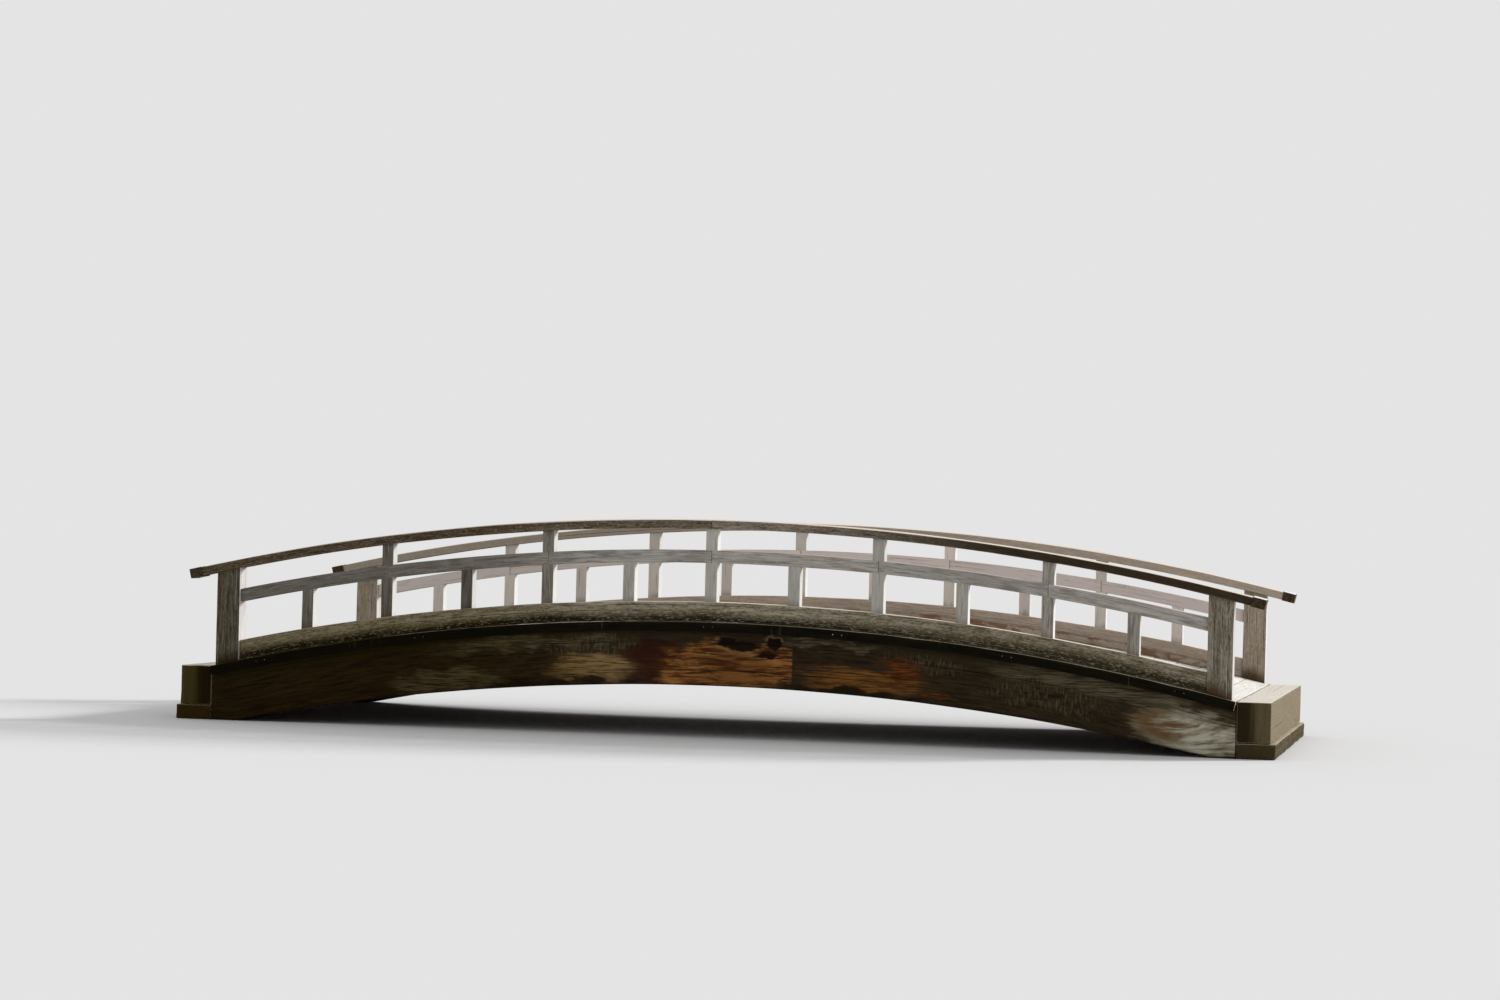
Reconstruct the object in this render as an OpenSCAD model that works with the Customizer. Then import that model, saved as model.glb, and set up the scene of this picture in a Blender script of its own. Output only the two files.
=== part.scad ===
// Arched timber footbridge: two bowed girders, cross beams, a planked deck and a low railing on each side.
// +X runs along the bridge, +Y across it to the far side and +Z up. The origin is on the ground, mid-span.

/* [Bays and curve] */
// Distance between two neighbouring posts, half of a railing bay
half_bay = 660; // [610:1:720]
// Distance between the centre lines of the two railings
rail_spacing = 3490; // [2800:10:3900]
// Radius of the deck's upper surface
deck_r = 17870; // [16500:10:21000]
// How far the deck runs on past each end post
deck_margin = 32; // [15:1:80]

/* [Girders] */
// Clear height under the middle of the girders
soffit_crown_z = 410; // [385:1:520]
// Length of the flat seat at each end of a girder
girder_seat_l = 197; // [120:1:400]
// Depth of a girder at mid-span
girder_depth = 437; // [420:1:520]
// Thickness of a girder
girder_w = 240; // [160:1:320]

/* [Floor frame] */
// Width of a cross beam
cross_beam_w = 180; // [120:1:240]
// Depth of a cross beam
cross_beam_h = 210; // [150:1:240]
// How deep the end of a cross beam is let into a girder
housing_l = 30; // [15:1:50]
// Width of a stringer
stringer_w = 120; // [80:1:180]
// Depth of a stringer
stringer_h = 120; // [80:1:160]
// Number of stringers between the girders
stringer_count = 3; // [1:1:5]
// Width of an end sill
sill_w = 265; // [200:1:340]
// Depth of an end sill
sill_h = 315; // [250:1:340]
// How far the footing under a sill runs out past it
footing_margin = 35; // [10:1:80]

/* [Deck] */
// Thickness of a deck plank
plank_t = 60; // [40:1:70]
// Number of deck planks
plank_count = 42; // [36:3:54]
// Gap between two planks
plank_gap = 6; // [3:0.5:10]
// Thickness of the board along the plank ends
edge_board_t = 60; // [40:1:90]
// Depth of the board along the plank ends
edge_board_h = 76; // [60:1:110]

/* [Railing] */
// Width of a curb
curb_w = 120; // [112:1:150]
// Height of a curb
curb_h = 157; // [120:1:200]
// Clear height between curb and middle rail
lower_gap = 302; // [250:1:360]
// Height of the middle rail
mid_rail_h = 101; // [80:1:130]
// Clear height between middle rail and handrail
upper_gap = 165; // [120:1:220]
// Height of the handrail's side
top_rail_h = 67; // [55:1:90]
// Width of the handrail
top_rail_w = 150; // [130:1:190]
// Rise of the handrail's top from its sides to its ridge
top_rail_crown = 8; // [4:1:14]
// How far a handrail runs on past the outer face of an end post
top_rail_overhang = 242; // [170:1:360]
// Length of the cap round a handrail's tip
tip_cap_l = 105; // [60:1:140]
// How far the cap stands out from the handrail all round
tip_cap_t = 5; // [2:0.5:10]

/* [Posts] */
// Width of a post along the railing
post_w = 95; // [80:1:120]
// Depth of a post and of the middle rail across the railing
post_d = 110; // [90:1:112]
// Depth of the neck of a tall post where the middle rail wraps it
neck_d = 50; // [30:1:60]
// Width of an end post along the railing
end_post_w = 195; // [160:1:220]
// Depth of an end post across the railing
end_post_d = 165; // [130:1:200]

/* [Tenons] */
// Length of a tenon
tenon_l = 40; // [20:1:45]
// Width of a post's tenon along the railing
tenon_w = 60; // [40:1:70]
// Depth of a tenon across the railing
tenon_d = 44; // [30:1:60]
// Height of the tenon at the end of a middle rail
rail_tenon_h = 55; // [40:1:65]

/* [Fits] */
// Play between pieces that are let into each other
fit = 0.3; // [0.2:0.1:0.5]
// Open seam between two lengths of rail
seam = 2; // [1:0.5:4]

/* [Hidden] */
$fn = 1440;

near = -1;
far = 1;
left = -1;
right = 1;

weathered = "#8f8a80";
brown = "#6b5a48";
dark = "#3d342b";
stone = "#8b867c";

// Places along the bridge
end_post_x = 6 * half_bay;
rail_end_x = end_post_x - end_post_w / 2;
deck_end_x = end_post_x + end_post_w / 2 + deck_margin;
top_rail_reach = end_post_x + end_post_w / 2 + top_rail_overhang;

// The girders' lower edge is an arc from seat to seat
seat_start_x = deck_end_x - girder_seat_l;
soffit_r = (seat_start_x * seat_start_x + soffit_crown_z * soffit_crown_z) / (2 * soffit_crown_z);

// Places across the bridge
rail_y = rail_spacing / 2;
plank_end_y = rail_y + curb_w / 2;
girder_in_y = plank_end_y - girder_w;

// Radii of the levels that share the arch's centre, from the floor frame up to the handrail
deck_angle = asin(deck_end_x / deck_r);
plank_pitch = 2 * deck_angle / plank_count;
plank_w = 2 * (deck_r * tan(plank_pitch / 2)) - plank_gap;
plank_top_r = sqrt(deck_r * deck_r - plank_w * plank_w / 4);
seat_r = plank_top_r - plank_t;
stringer_r = seat_r - stringer_h;
curb_r = deck_r + curb_h;
mid_low_r = curb_r + lower_gap;
mid_top_r = mid_low_r + mid_rail_h;
rail_tenon_r = (mid_low_r + mid_top_r) / 2;
handrail_r = mid_top_r + upper_gap;
ridge_r = handrail_r + top_rail_h + top_rail_crown;

// Angle by which a stretch runs on past its upright ends before it is cut
lap_angle = 0.01;
// Least angle of a facet on the long curves
facet_angle = 1.45;

// Heights
arch_z = soffit_crown_z + girder_depth - seat_r;
deck_end_z = arch_z + sqrt(deck_r * deck_r - deck_end_x * deck_end_x);
footing_h = deck_end_z - sill_h;

// A block on the ground, centred on x and y, that reaches higher than the handrails
module upright(x, y, size_x, size_y) {
  translate([x - size_x / 2, y - size_y / 2, 0])
    cube([size_x, size_y, arch_z + handrail_r + 2 * top_rail_h]);
}

// Sweeps a section along the arch. In the section, x is the radius and y the place across the bridge.
// The number of facets is even, so that a sweep with equal ends has an edge on the crown.
module sweep(from_angle, to_angle) {
  turn = to_angle - from_angle;
  facets = 2 * max(1, floor(turn / (2 * facet_angle)));
  translate([0, 0, arch_z])
    rotate([90, 0, 0])
      rotate([0, 0, 90 - to_angle])
        rotate_extrude(angle = turn, $fn = max(16, floor(facets * 360 / turn)))
          mirror([0, 1])
            children();
}

// The stretch between two radii of the arch that stands between the upright planes x = from and x = to
module band(low_r, high_r, from, to, y, w) {
  from_angle = asin(from / (from < 0 ? low_r : high_r)) - lap_angle;
  to_angle = asin(to / (to > 0 ? low_r : high_r)) + lap_angle;
  intersection() {
    sweep(from_angle, to_angle)
      translate([low_r, y - w / 2])
        square([high_r - low_r, w]);
    upright((from + to) / 2, y, to - from, 2 * w);
  }
}

// A post of one size between two radii of the arch
module post(low_r, high_r, x, y, size_x, size_y) {
  band(low_r, high_r, x - size_x / 2, x + size_x / 2, y, size_y);
}

// A post's tenon between two radii of the arch, or with play all round its mortise
module tenon(low_r, high_r, x, side, play = 0) {
  post(low_r - play, high_r + play, x, side * rail_y, tenon_w + 2 * play, tenon_d + 2 * play);
}

// The tenon at an end of the middle rail, or with play all round its mortise in the end post
module rail_tenon(side, end, play = 0) {
  root = end * (rail_end_x - tenon_l);
  tip = end * (rail_end_x + tenon_l + play);
  low_r = rail_tenon_r - rail_tenon_h / 2 - play;
  high_r = rail_tenon_r + rail_tenon_h / 2 + play;
  band(low_r, high_r, min(root, tip), max(root, tip), side * rail_y, tenon_d + 2 * play);
}

// The block of a cross beam, or with play round it its housings in the girders
module cross_beam_block(number, half_l, play = 0) {
  angle = asin((number - 3) * 2 * half_bay / deck_r);
  top_r = sqrt(stringer_r * stringer_r - cross_beam_w * cross_beam_w / 4);
  translate([0, 0, arch_z])
    rotate([0, angle, 0])
      translate([-cross_beam_w / 2 - play, -half_l, top_r - cross_beam_h - play])
        cube([cross_beam_w + 2 * play, 2 * half_l, cross_beam_h + 2 * play]);
}

module girder(side) {
  color(dark)
    difference() {
      intersection() {
        translate([0, 0, arch_z])
          rotate([90, 0, 0])
            cylinder(h = 2 * rail_spacing, r = seat_r, center = true);
        translate([-deck_end_x, side * (plank_end_y + girder_in_y) / 2 - girder_w / 2, 0])
          cube([2 * deck_end_x, girder_w, soffit_crown_z + girder_depth + fit]);
      }
      translate([0, 0, soffit_crown_z - soffit_r])
        rotate([90, 0, 0])
          cylinder(h = 2 * rail_spacing, r = soffit_r, center = true);
      for (number = [1:5])
        cross_beam_block(number, girder_in_y + housing_l, fit);
    }
}

// Cross beams stand square to the arch under the tall posts, their ends let into the girders
module cross_beam(number) {
  color(brown)
    cross_beam_block(number, girder_in_y + housing_l - fit);
}

module end_sill(end) {
  color(brown)
    translate([end * (deck_end_x + fit + sill_w / 2) - sill_w / 2, -plank_end_y, footing_h])
      cube([sill_w, 2 * plank_end_y, sill_h]);
}

module footing(end) {
  w = sill_w + footing_margin;
  color(stone)
    translate([end * (deck_end_x + fit + w / 2) - w / 2, -plank_end_y, 0])
      cube([w, 2 * plank_end_y, footing_h]);
}

module stringers() {
  spacing = 2 * girder_in_y / (stringer_count + 1);
  color(brown)
    for (i = [1:stringer_count])
      band(stringer_r, seat_r, -deck_end_x, deck_end_x, i * spacing - girder_in_y, stringer_w);
}

module deck_planks(first, last) {
  color(weathered)
    translate([0, 0, arch_z])
      for (i = [first:last])
        rotate([0, (i + 0.5) * plank_pitch - deck_angle, 0])
          translate([-plank_w / 2, -plank_end_y, seat_r])
            cube([plank_w, 2 * plank_end_y, plank_t]);
}

module deck_edge(side) {
  y = side * (plank_end_y + fit + edge_board_t / 2);
  color(dark)
    sweep(-deck_angle, deck_angle)
      translate([deck_r - edge_board_h, y - edge_board_t / 2])
        square([edge_board_h, edge_board_t]);
}

// The curb has a mortise under each post
module curb(side) {
  color(weathered)
    difference() {
      band(deck_r, curb_r, -rail_end_x, rail_end_x, side * rail_y, curb_w);
      for (k = [-5:5])
        tenon(curb_r - tenon_l, curb_r + tenon_l, k * half_bay, side, fit);
    }
}

// A short post has a tenon in the curb and one in the middle rail
module short_post(side, number) {
  x = (2 * number - 7) * half_bay;
  color(weathered) {
    post(curb_r, mid_low_r, x, side * rail_y, post_w, post_d);
    tenon(curb_r - tenon_l, mid_low_r + tenon_l, x, side);
  }
}

// A tall post is one piece, with a tenon in the curb and one in the handrail.
// Its neck passes through the middle rail, which its shoulders hold.
module tall_post(side, number) {
  x = (number - 3) * 2 * half_bay;
  color(weathered) {
    post(curb_r, mid_low_r, x, side * rail_y, post_w, post_d);
    post(mid_top_r, handrail_r, x, side * rail_y, post_w, post_d);
    post(curb_r + lower_gap / 2, handrail_r - upper_gap / 2, x, side * rail_y, post_w, neck_d);
    tenon(curb_r - tenon_l, handrail_r + tenon_l, x, side);
  }
}

// An end post stands on the deck, with a tenon in the handrail and a mortise for the middle rail
module end_post(side, end) {
  color(weathered)
    difference() {
      union() {
        post(deck_r, handrail_r, end * end_post_x, side * rail_y, end_post_w, end_post_d);
        tenon(mid_top_r + upper_gap / 2, handrail_r + tenon_l, end * end_post_x, side);
      }
      rail_tenon(side, end, fit);
    }
}

// The middle rail is made in lengths that meet at the tall posts, each notched round the posts' necks.
// Each length has a mortise for its short post, and the outer lengths end in tenons.
module mid_rail(side) {
  color(weathered)
    for (k = [-6:2:4]) {
      from = k == -6 ? -rail_end_x : k * half_bay + seam / 2;
      to = k == 4 ? rail_end_x : (k + 2) * half_bay - seam / 2;
      difference() {
        union() {
          band(mid_low_r, mid_top_r, from, to, side * rail_y, post_d);
          if (abs(k + 1) == 5)
            rail_tenon(side, sign(k + 1));
        }
        for (joint = [k, k + 2])
          if (abs(joint) < 6)
            upright(joint * half_bay, side * rail_y, post_w + 2 * fit, neck_d + 2 * fit);
        tenon(mid_low_r - tenon_l, mid_low_r + tenon_l, (k + 1) * half_bay, side, fit);
      }
    }
}

// The handrail's outline, with a ridge along the middle of its top, or grown all round for the caps
module handrail_section(grow) {
  half_w = top_rail_w / 2 + grow;
  low_r = handrail_r - grow;
  side_r = handrail_r + top_rail_h + grow;
  polygon([
    [low_r, -half_w],
    [side_r, -half_w],
    [ridge_r + grow, 0],
    [side_r, half_w],
    [low_r, half_w]
  ]);
}

// The stretch of a handrail between two angles, counted from mid-span towards one end
module handrail_stretch(side, end, from_angle, to_angle, grow = 0) {
  sweep(min(end * from_angle, end * to_angle), max(end * from_angle, end * to_angle))
    translate([0, side * rail_y])
      handrail_section(grow);
}

// Half of a handrail, with mortises for the posts under it and a cap round its tip
module top_rail(side, end) {
  seam_angle = asin(seam / 2 / handrail_r);
  tip_angle = asin(top_rail_reach / (handrail_r + top_rail_h));
  cap_angle = asin(tip_cap_l / handrail_r);
  color(brown)
    difference() {
      union() {
        handrail_stretch(side, end, seam_angle, tip_angle - cap_angle / 2);
        handrail_stretch(side, end, tip_angle - cap_angle, tip_angle, tip_cap_t);
      }
      for (k = [0:2:6])
        tenon(handrail_r - tenon_l, handrail_r + tenon_l, end * k * half_bay, side, fit);
    }
}

girder(near);  // girder_near
girder(far);  // girder_far
for (i = [1:5])
  cross_beam(i);
end_sill(left);  // end_sill_left
end_sill(right);  // end_sill_right
footing(left);  // footing_left
footing(right);  // footing_right
stringers();
deck_planks(0, plank_count / 3 - 1);  // deck_planks_left
deck_planks(plank_count / 3, 2 * plank_count / 3 - 1);  // deck_planks_middle
deck_planks(2 * plank_count / 3, plank_count - 1);  // deck_planks_right
deck_edge(near);  // deck_edge_near
deck_edge(far);  // deck_edge_far
curb(near);  // curb_near
curb(far);  // curb_far
for (i = [1:5]) {
  tall_post(near, i);
  tall_post(far, i);
}
for (i = [1:6]) {
  short_post(near, i);
  short_post(far, i);
}
end_post(near, left);  // end_post_near_left
end_post(near, right);  // end_post_near_right
end_post(far, left);  // end_post_far_left
end_post(far, right);  // end_post_far_right
mid_rail(near);  // mid_rail_near
mid_rail(far);  // mid_rail_far
top_rail(near, left);  // top_rail_near_left
top_rail(near, right);  // top_rail_near_right
top_rail(far, left);  // top_rail_far_left
top_rail(far, right);  // top_rail_far_right
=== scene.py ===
import zlib
from dataclasses import dataclass
from functools import partial, reduce
from math import asin, ceil, cos, pi, radians, sin, sqrt

import bpy
import numpy as np
from mathutils import Matrix, Vector


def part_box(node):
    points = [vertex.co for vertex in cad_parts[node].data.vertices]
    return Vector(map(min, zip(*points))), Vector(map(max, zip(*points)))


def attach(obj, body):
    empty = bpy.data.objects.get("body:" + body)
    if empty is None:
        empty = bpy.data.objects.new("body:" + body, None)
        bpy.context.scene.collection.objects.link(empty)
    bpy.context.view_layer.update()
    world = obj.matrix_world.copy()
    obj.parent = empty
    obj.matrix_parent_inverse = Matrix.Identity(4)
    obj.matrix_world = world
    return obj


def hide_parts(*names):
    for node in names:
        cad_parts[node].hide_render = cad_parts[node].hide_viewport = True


# The fixed frame: metres, +X along the bridge, +Y across it to the far side, +Z up
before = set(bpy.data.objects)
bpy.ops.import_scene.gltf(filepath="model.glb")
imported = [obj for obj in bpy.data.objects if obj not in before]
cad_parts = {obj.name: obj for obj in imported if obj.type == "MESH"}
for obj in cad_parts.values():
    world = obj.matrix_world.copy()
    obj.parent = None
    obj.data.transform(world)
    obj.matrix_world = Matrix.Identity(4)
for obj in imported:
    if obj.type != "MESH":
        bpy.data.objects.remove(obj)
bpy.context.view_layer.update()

TOUCH = 1e-4           # points closer than this are at one place
SAME_FACE = 0.01       # points of one face lie within this, measured square to it
UPPER_EDGE = 0.1       # a girder's lower edge lies deeper than this under its top
SMALLEST_GAP = 0.003   # the joints between planks are wider
SUNK = 0.003           # how far a timber's hidden end runs on into what carries it
SEAM = 0.002           # open seam between two lengths of rail
OUTER_BAY = 3          # full bays from mid-span to an end post
SIDES = {"near": -1, "far": 1}
ENDS = {"left": -1, "right": 1}
PLANK_NODES = ("deck_planks_left", "deck_planks_middle", "deck_planks_right")


# Sizes that are read from the frame

def points_of(node):
    """The vertices of a CAD node, one row each."""
    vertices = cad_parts[node].data.vertices
    points = np.empty(len(vertices) * 3)
    vertices.foreach_get("co", points)
    return points.reshape(-1, 3)


def circle_through(points):
    """(height of the centre, radius) of the circle in the XZ plane round x = 0 that fits the points."""
    x, z = points[:, 0], points[:, 2]
    terms = np.column_stack((2 * z, np.ones_like(z)))
    centre, rest = np.linalg.lstsq(terms, x**2 + z**2, rcond=None)[0]
    return centre, sqrt(rest + centre**2)


def arch_centre():
    """Height of the centre that the deck's arches share, from the top of a curb."""
    points = points_of("curb_near")
    crown_z, end_x = points[:, 2].max(), points[:, 0].max()
    drop = crown_z - points[points[:, 0] > end_x - TOUCH, 2].max()
    rough = crown_z - (end_x**2 + drop**2) / (2 * drop)
    from_rough = np.hypot(points[:, 0], points[:, 2] - rough)
    return circle_through(points[from_rough > from_rough.max() - SAME_FACE])[0]


CENTRE_Z = arch_centre()


def polar(points):
    """(angles from upright, distances from the arches' centre) of points."""
    x, z = points[:, 0], points[:, 2] - CENTRE_Z
    return np.arctan2(x, z), np.hypot(x, z)


def radii_of(node):
    """(lowest, highest) distance of a node from the arches' centre."""
    radii = polar(points_of(node))[1]
    return radii.min(), radii.max()


def arc_z(radius, x, centre_z=CENTRE_Z):
    """Height over x of the arch with that radius."""
    return centre_z + np.sqrt(radius**2 - x**2)


def clusters(values, apart):
    """The middles of groups of values, where a step over apart starts a new group."""
    ordered = np.sort(values)
    groups = np.split(ordered, np.flatnonzero(np.diff(ordered) > apart) + 1)
    return np.array([group.mean() for group in groups])


def middle_of(node):
    low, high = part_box(node)
    return (low + high) / 2


deck_r, curb_r = radii_of("curb_near")
mid_low_r, mid_top_r = radii_of("mid_rail_near")
edge_low_r = radii_of("deck_edge_near")[0]
seat_r = radii_of("girder_near")[1]
deck_end_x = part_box("deck_edge_near")[1].x
rail_end_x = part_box("curb_near")[1].x
half_bay = middle_of("tall_post_near_4").x / 2
end_post_x = 2 * OUTER_BAY * half_bay


def handrail_sizes():
    """(radii of the underside, of the side's top and of the ridge, width), read by the seam."""
    points = points_of("top_rail_near_left")
    points = points[points[:, 0] > -half_bay]
    radii, y = polar(points)[1], points[:, 1]
    return radii.min(), radii[y < y.min() + TOUCH].max(), radii.max(), np.ptp(y)


def cap_sizes():
    """(angle where a handrail's cap starts, angle of its tip, how far it stands out)."""
    angles, radii = polar(points_of("top_rail_near_left"))
    angles = np.abs(angles)
    return angles[radii < handrail_r - TOUCH].min(), angles.max(), handrail_r - radii.min()


handrail_r, side_r, ridge_r, handrail_w = handrail_sizes()
cap_angle, tip_angle, cap_t = cap_sizes()


# Random numbers that are the same on each run

def dice(name):
    """A random generator that belongs to a name."""
    return np.random.default_rng(zlib.crc32(name.encode()))


def blend_steps(values, period):
    """(cell, smooth share of the way to the next cell) for values, in steps of period from the lowest."""
    steps = (values - values.min()) / period
    cell = np.floor(steps).astype(int)
    share = steps - cell
    return cell, share * share * (3 - 2 * share)


def drift(rng, u, period):
    """Smooth random numbers from 0 to 1 along u, with about that period."""
    cell, share = blend_steps(u, period)
    values = rng.random(cell.max() + 2)
    return values[cell] * (1 - share) + values[cell + 1] * share


def drift_over(rng, u, p, u_period, p_period):
    """Smooth random numbers from 0 to 1 over a grid of u and p."""
    cell, share = blend_steps(p, p_period)
    lines = np.stack([drift(rng, u, u_period) for _ in range(cell.max() + 2)])
    return (lines[cell] * (1 - share)[:, None] + lines[cell + 1] * share[:, None]).T


# Timbers: closed surfaces made of rings round the section, one ring for each station along the grain.
# u runs along the grain, v across it from -width / 2 to width / 2, and w up from 0 to height.

@dataclass
class Wear:
    """How finely a kind of timber is divided, and how worn it is."""
    along: float = 0.035            # longest step along the grain
    across: float = 0.012           # longest step across it
    arris: float = 0.005            # size of a worn arris
    wander: float = 0.002           # how far the faces dip
    checks: tuple = (1, 1, 1, 1)    # drying checks in the lower, right, upper and left face
    check_w: float = 0.0012         # half the width of a check
    check_depth: float = 0.006


def spread(low, high, step):
    """Evenly spaced numbers from low to high, at most step apart."""
    return np.linspace(low, high, max(2, ceil((high - low) / step) + 1))


class Section:
    """The columns of points round a rectangle, with worn arrises and a groove for each check."""

    ARRIS_ANGLES = np.radians((9, 27, 45, 63, 81))
    LEAST_WORN, MORE_WORN = 0.5, 1.4    # shares of the arris: worn off everywhere, and here and there on top
    CHECK_ROOM = 4                 # free space to each side of a check, in half widths
    CHECK_WIDTHS = (0.6, 1.5)      # shares of the width
    CHECK_DEPTHS = (0.4, 1)        # shares of the depth
    CHECK_REACHES = (0.12, 0.4)    # shares of the timber's length, to each side
    CHECK_STRAY = 0.004            # how far a check wanders across the grain
    ARRIS_PERIOD, OPENING_PERIOD, STRAY_PERIOD = 0.22, 0.12, 0.35

    def __init__(self, width, height, wear, rng):
        self.wear = wear
        self.rng = rng
        self.rows = []
        self.check_count = 0
        half = width / 2
        corners = ((-half, 0), (half, 0), (half, height), (-half, height))
        ways = ((1, 0), (0, 1), (-1, 0), (0, -1))
        for start, way, length, checks in zip(corners, ways, (width, height, width, height), wear.checks):
            self.add_face(start, way, length, checks)
            self.add_arris(start, way, length)
        table = np.array(self.rows)
        self.v, self.w, self.normal_v, self.normal_w, self.corner_v, self.corner_w = table[:, :6].T
        self.check, self.part = table[:, 6].astype(int), table[:, 7]
        around = np.hypot(np.diff(self.v), np.diff(self.w))
        self.p = np.append(0, np.cumsum(around))

    def add_face(self, start, way, length, checks):
        wear = self.wear
        edge = 2 * wear.arris
        ends = (edge, length - edge)
        flats = [(place, -1, 0) for place in spread(*ends, wear.across)]
        room = self.CHECK_ROOM * wear.check_w
        for place in self.rng.uniform(edge + room, length - edge - room, checks):
            flats = [flat for flat in flats if abs(flat[0] - place) > room or flat[0] in ends]
            half = wear.check_w * self.rng.uniform(*self.CHECK_WIDTHS)
            flats += [(place + part * half, self.check_count, part) for part in (-1, 0, 1)]
            self.check_count += 1
        for place, check, part in sorted(flats):
            v, w = start[0] + way[0] * place, start[1] + way[1] * place
            self.rows.append((v, w, way[1], -way[0], 0, 0, check, part))

    def add_arris(self, start, way, length):
        v, w = start[0] + way[0] * length, start[1] + way[1] * length
        for angle in self.ARRIS_ANGLES:
            normal_v = way[1] * cos(angle) + way[0] * sin(angle)
            normal_w = -way[0] * cos(angle) + way[1] * sin(angle)
            self.rows.append((v, w, normal_v, normal_w, way[0] + way[1], way[1] - way[0], -1, 0))

    def checks_along(self, u):
        """How deep each column's check is at each station, and how far it strays aside."""
        depths = np.zeros((len(u), len(self.v)))
        stray = np.zeros_like(depths)
        length = u[-1] - u[0]
        for check in range(self.check_count):
            columns = self.check == check
            centre = self.rng.uniform(u[0], u[-1])
            reach = length * self.rng.uniform(*self.CHECK_REACHES)
            opened = np.clip(1 - ((u - centre) / reach) ** 2, 0, 1)
            opened *= 0.5 + 0.5 * drift(self.rng, u, self.OPENING_PERIOD)
            deepest = self.wear.check_depth * self.rng.uniform(*self.CHECK_DEPTHS)
            depths[:, columns & (self.part == 0)] = (deepest * opened)[:, None]
            aside = drift(self.rng, u, self.STRAY_PERIOD) - 0.5
            stray[:, columns] = (self.CHECK_STRAY * aside)[:, None]
        return depths, stray

    def worn_corners(self, u):
        """How far each arris column lies in from its corner at each station."""
        uneven = np.stack([drift(self.rng, u, self.ARRIS_PERIOD) ** 2 for _ in range(4)])
        sizes = self.wear.arris * (self.LEAST_WORN + self.MORE_WORN * uneven)
        corner = (self.corner_v < 0) + 2 * (self.corner_w > 0)
        return np.where(self.corner_v != 0, sizes[corner].T, 0)


def station_rings(faces, stations, columns):
    """Adds the quads between the rings of neighbouring stations."""
    ring = np.arange(columns)
    turned = np.roll(ring, -1)
    rows = np.arange(stations - 1)[:, None] * columns
    quads = (rows + ring, rows + turned, rows + columns + turned, rows + columns + ring)
    faces.extend(np.stack(quads, axis=-1).reshape(-1, 4).tolist())


CAP_RINGS = (0.72, 0.4, 0.12)    # the share of the section that each inset ring of an end takes


def end_cap(faces, first_free, outer, inward):
    """Closes an end with rings of faces, from its outer ring to the last inset ring."""
    for _ in CAP_RINGS:
        nearer = first_free + np.arange(len(outer))
        loop = np.stack((outer, nearer, np.roll(nearer, -1), np.roll(outer, -1)), axis=-1)
        faces.extend((loop if inward else loop[:, ::-1]).tolist())
        first_free += len(outer)
        outer = nearer
    faces.append((outer[::-1] if inward else outer).tolist())


DRY_LIT_X, DAMP_SHADED_X = -0.9, -1.8              # from the first to the second, the near side gets painted shade of the plants there, darker and with the warmer tone of wet wood
END_STATIONS = np.array((0, 0.3, 1))    # places of the rings that round an end, in sizes of its arris
DIP_PERIODS = (0.5, 0.09)               # of the dips in the faces, along the grain and across it
PITH_OFFSETS = ((0, 40), (-0.3, 0.3), (-0.4, 0.2))    # metres along, shares of the width and of the height


def damp_and_shade_at(points):
    """How much painted shade and wetness darken the wood at points, from 0 to 1."""
    along = np.clip((points[:, 0] - DRY_LIT_X) / (DAMP_SHADED_X - DRY_LIT_X), 0, 1)
    return along * np.clip(-points[:, 1], 0, 1)


def timber(name, start, end, width, height, place, wear, crown=0.0):
    """A weathered timber from u = start to u = end, as arrays by name.

    place turns arrays of u, v and w into points of the frame. crown is the rise of a ridge along the top.
    """
    rng = dice(name)
    section = Section(width, height, wear, rng)
    ends = END_STATIONS * wear.arris
    inner = spread(start + wear.arris, end - wear.arris, wear.along)
    u = np.unique(np.concatenate((start + ends, inner, end - ends)))
    from_end = np.minimum(np.minimum(u - start, end - u), wear.arris)
    rounding = wear.arris - np.sqrt(wear.arris**2 - (wear.arris - from_end) ** 2)
    worn = section.worn_corners(u)
    worn = np.where(worn > 0, np.maximum(worn, rounding[:, None] + wear.wander), 0)
    v = section.v + worn * (section.normal_v - section.corner_v)
    w = section.w + worn * (section.normal_w - section.corner_w)

    depths, stray = section.checks_along(u)
    inward = depths + wear.wander * drift_over(rng, u, section.p, *DIP_PERIODS) + rounding[:, None]
    u = np.broadcast_to(u[:, None], v.shape)
    v = v - inward * section.normal_v + stray * section.normal_w
    w = w - inward * section.normal_w - stray * section.normal_v
    w = w + crown * (1 - 2 * np.abs(v) / width) * w / height

    stations, columns = v.shape
    solid = np.stack((u, v, w), axis=-1)
    middle = np.array((0, height / 2))
    caps = []
    for ring in (solid[0], solid[-1]):
        for share in CAP_RINGS:
            inset = ring.copy()
            inset[:, 1:] = middle + (ring[:, 1:] - middle) * share
            caps.append(inset)
    body = stations * columns
    ring = np.arange(columns)
    faces = []
    station_rings(faces, stations, columns)
    end_cap(faces, body, ring, True)
    end_cap(faces, body + len(CAP_RINGS) * columns, body - columns + ring, False)
    solid = np.concatenate((solid.reshape(-1, 3), *caps))

    marks = np.zeros((len(solid), 3))
    marks[:body, 0] = (depths / wear.check_depth).ravel()
    marks[:body, 1] = np.tile(section.corner_v != 0, stations)
    marks[body:, 2] = 1
    marks[:columns, 2] = marks[body - columns:body, 2] = 1
    pith = [size * rng.uniform(*offsets) for size, offsets in zip((1, width, height), PITH_OFFSETS)]
    tone = np.full(len(solid), rng.uniform(-1, 1))
    points = place(*solid.T)
    return {
        "points": points,
        "faces": faces,
        "grain": solid + pith,
        "marks": marks,
        "ends": np.column_stack((solid[:, 0] - start, end - solid[:, 0], np.zeros(len(solid)))),
        "look": np.column_stack((solid[:, 2] / height, tone, damp_and_shade_at(points))),
    }


VECTORS = ("grain", "marks", "ends", "look")
SHARP_ANGLE = radians(35)


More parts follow.
